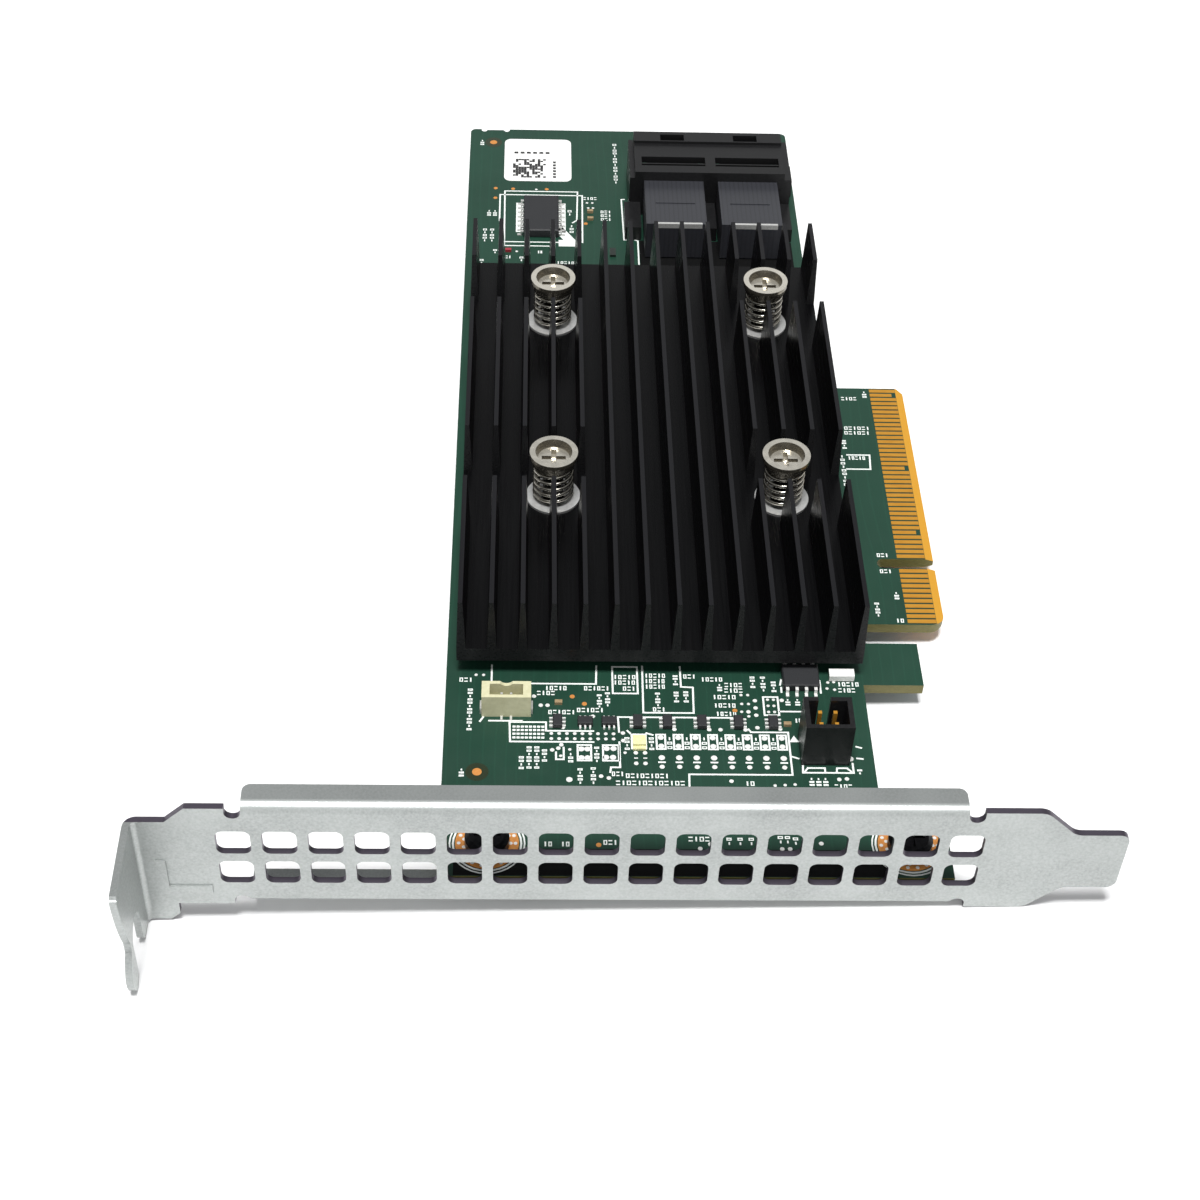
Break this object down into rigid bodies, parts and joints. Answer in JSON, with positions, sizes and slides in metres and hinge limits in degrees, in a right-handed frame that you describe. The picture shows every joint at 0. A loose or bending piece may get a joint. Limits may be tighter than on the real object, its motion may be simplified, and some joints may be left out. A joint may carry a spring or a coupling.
{
  "type": "raid controller card",
  "caption": "Low-profile storage controller board with a finned heatsink on spring screws, a dual rear-facing disk connector and a full-height vented slot bracket",
  "frame": {"origin": "on the outer edge of the board's contact tongue, at the middle of the key notch and of the board's thickness", "axes": "+X leaves the board through the contact edge into the slot, +Y runs along the board away from the bracket, +Z is the component side"},
  "size_m": [0.1209, 0.1792, 0.0222],
  "materials": {
    "laminate": "green solder-masked glass-epoxy laminate, satin",
    "contact_gold": "hard gold plate over nickel, bright",
    "bare_copper": "bare copper ring, satin",
    "zinc_sheet": "bright zinc-plated sheet steel, rolled grain",
    "black_screw": "black oxide steel, satin",
    "black_anodised": "black anodised extrusion, satin",
    "nickel_steel": "nickel-plated steel, bright",
    "package_laminate": "chip package laminate, satin",
    "nickel_lid": "nickel-plated copper lid, satin",
    "thermal_compound": "grey thermal pad, matte",
    "black_moulding": "glass-filled black polymer, satin",
    "grey_moulding": "dark grey liquid-crystal polymer, matte",
    "tinned_copper": "tin-plated copper, satin",
    "cream_moulding": "natural nylon, satin",
    "chip_epoxy": "moulding compound, fine matte",
    "white_ceramic": "white alumina, satin",
    "brown_ceramic": "barium titanate, satin, tinned ends",
    "red_resistor": "glazed resistor array, satin",
    "lamp_resin": "clear indicator resin, glossy",
    "label_paper": "white coated label, satin"
  },
  "bodies": {
    "root": {"circuit_board": "laminate", "edge_contacts_component_side": "contact_gold", "edge_contacts_solder_side": "contact_gold", "port_contacts": "contact_gold", "jumper_pins": "contact_gold", "ground_rings": "bare_copper", "bracket": "zinc_sheet", "bracket_screws": "black_screw", "heatsink": "black_anodised", "shoulder_screws": "nickel_steel", "springs": "nickel_steel", "washers": "nickel_steel", "back_nuts": "nickel_steel", "controller_substrate": "package_laminate", "controller_lid": "nickel_lid", "thermal_pad": "thermal_compound", "connector_housing": "black_moulding", "contact_carrier_left": "black_moulding", "contact_carrier_right": "black_moulding", "jumper_header": "black_moulding", "terminal_block_left": "grey_moulding", "terminal_block_right": "grey_moulding", "tail_combs": "tinned_copper", "connector_tails": "tinned_copper", "wire_header_metal": "tinned_copper", "flash_chip_leads": "tinned_copper", "small_chip_leads": "tinned_copper", "transistor_leads": "tinned_copper", "wire_header": "cream_moulding", "flash_chip": "chip_epoxy", "small_chip": "chip_epoxy", "transistors": "chip_epoxy", "ceramic_fuse": "white_ceramic", "capacitors": "brown_ceramic", "back_capacitors": "brown_ceramic", "resistor_array": "red_resistor", "indicator_lamp": "lamp_resin", "label": "label_paper"}
  },
  "joints": []
}
